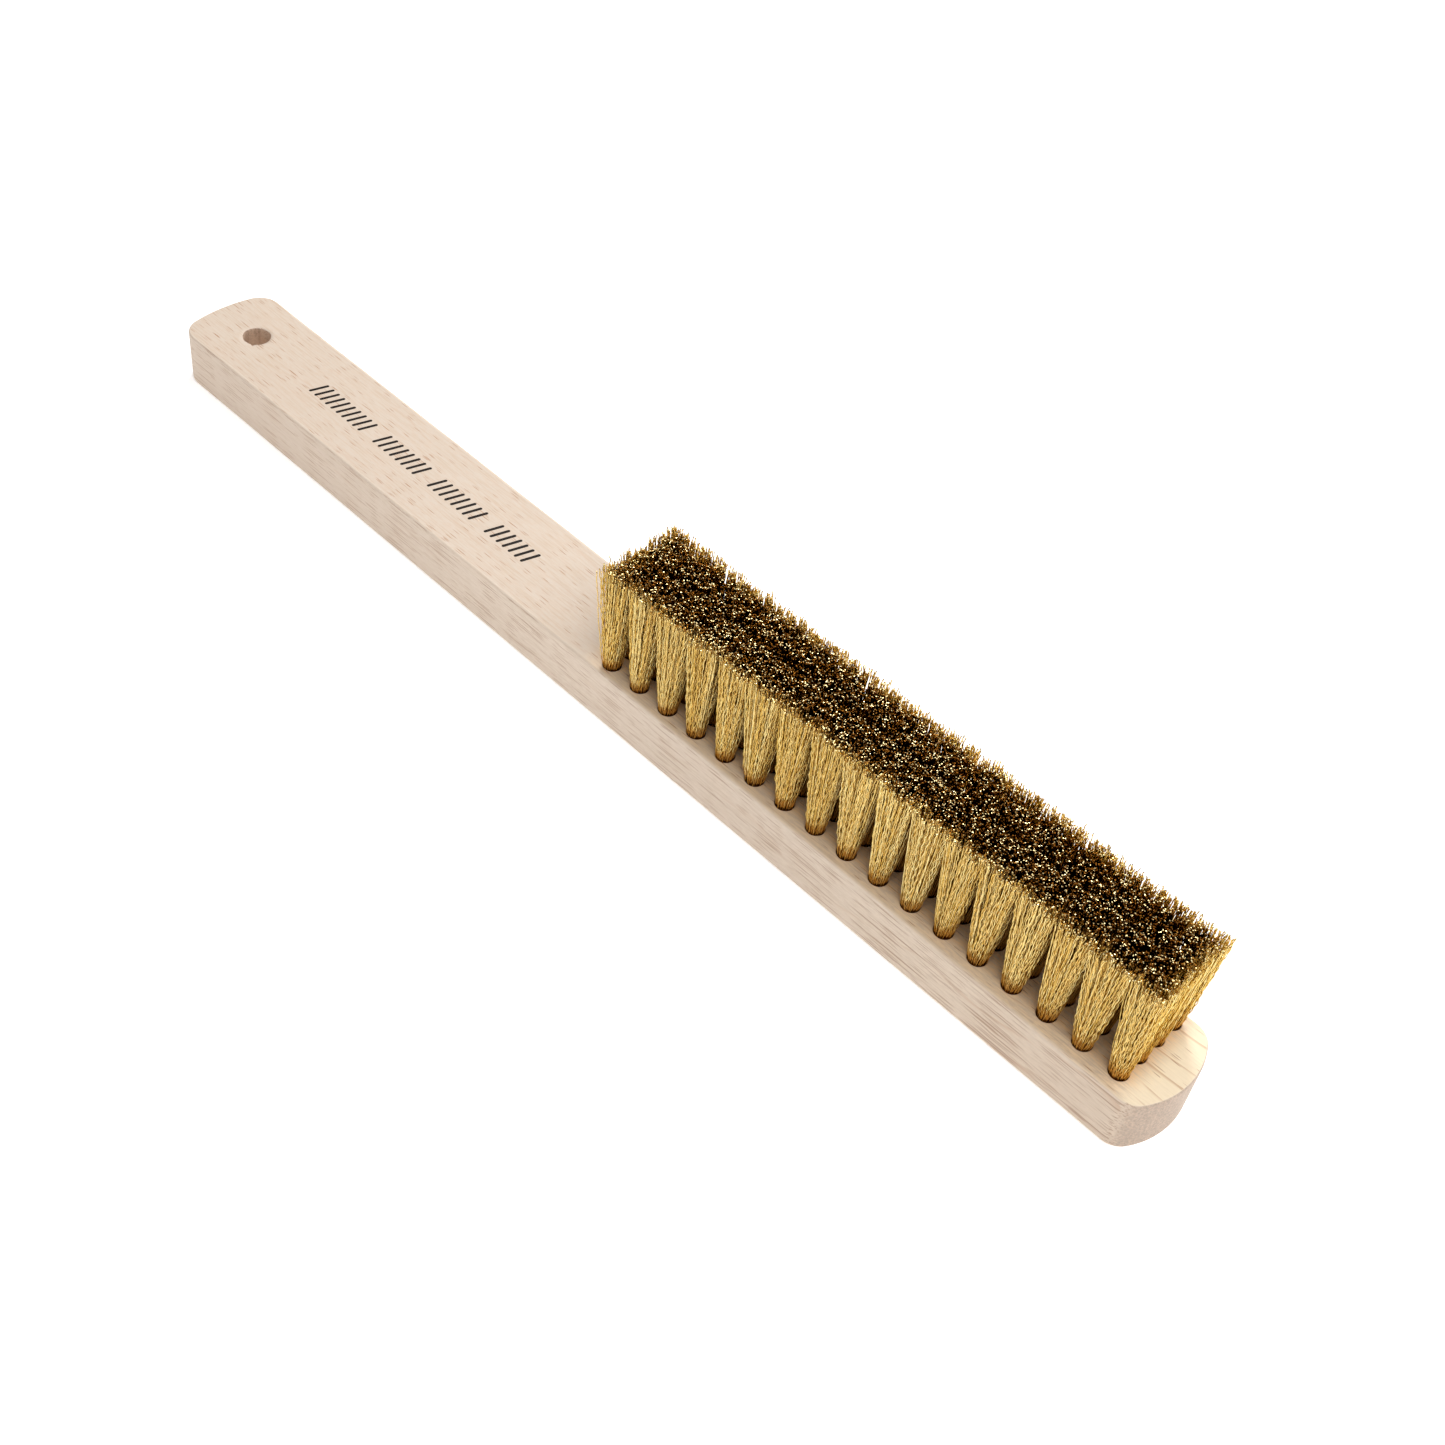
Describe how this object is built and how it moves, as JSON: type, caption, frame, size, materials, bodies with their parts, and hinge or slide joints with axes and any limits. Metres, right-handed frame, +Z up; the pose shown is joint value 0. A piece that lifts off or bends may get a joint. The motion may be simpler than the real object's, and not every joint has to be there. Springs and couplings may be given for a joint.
{
  "type": "wire scratch brush",
  "caption": "Straight wooden hand brush: flat block handle with a hanging hole and a dense field of fine brass wire tufts standing on its head half.",
  "frame": {"origin": "on the back face, under the middle of the block's length and width", "axes": "+X along the block from the handle end to the head end, +Z up out of the bristles, the back on z = 0"},
  "size_m": [0.26, 0.022, 0.035],
  "materials": {
    "beech": "bare sanded beech",
    "brass_wire": "fine crimped brass wire, bright drawn, darker at the roots",
    "anchor_wire": "flat steel wire, cut ends",
    "print_ink": "thin dark grey stamping ink, slightly soaked into the wood"
  },
  "bodies": {
    "root": {"wooden_block": "beech", "tuft_row_01": "brass_wire", "tuft_row_02": "brass_wire", "tuft_row_03": "brass_wire", "tuft_row_04": "brass_wire", "tuft_row_05": "brass_wire", "tuft_row_06": "brass_wire", "tuft_row_07": "brass_wire", "tuft_row_08": "brass_wire", "tuft_row_09": "brass_wire", "tuft_row_10": "brass_wire", "tuft_row_11": "brass_wire", "tuft_row_12": "brass_wire", "tuft_row_13": "brass_wire", "tuft_row_14": "brass_wire", "tuft_row_15": "brass_wire", "tuft_row_16": "brass_wire", "tuft_row_17": "brass_wire", "anchor_row_01": "anchor_wire", "anchor_row_02": "anchor_wire", "anchor_row_03": "anchor_wire", "anchor_row_04": "anchor_wire", "anchor_row_05": "anchor_wire", "anchor_row_06": "anchor_wire", "anchor_row_07": "anchor_wire", "anchor_row_08": "anchor_wire", "anchor_row_09": "anchor_wire", "anchor_row_10": "anchor_wire", "anchor_row_11": "anchor_wire", "anchor_row_12": "anchor_wire", "anchor_row_13": "anchor_wire", "anchor_row_14": "anchor_wire", "anchor_row_15": "anchor_wire", "anchor_row_16": "anchor_wire", "anchor_row_17": "anchor_wire"}
  },
  "joints": []
}
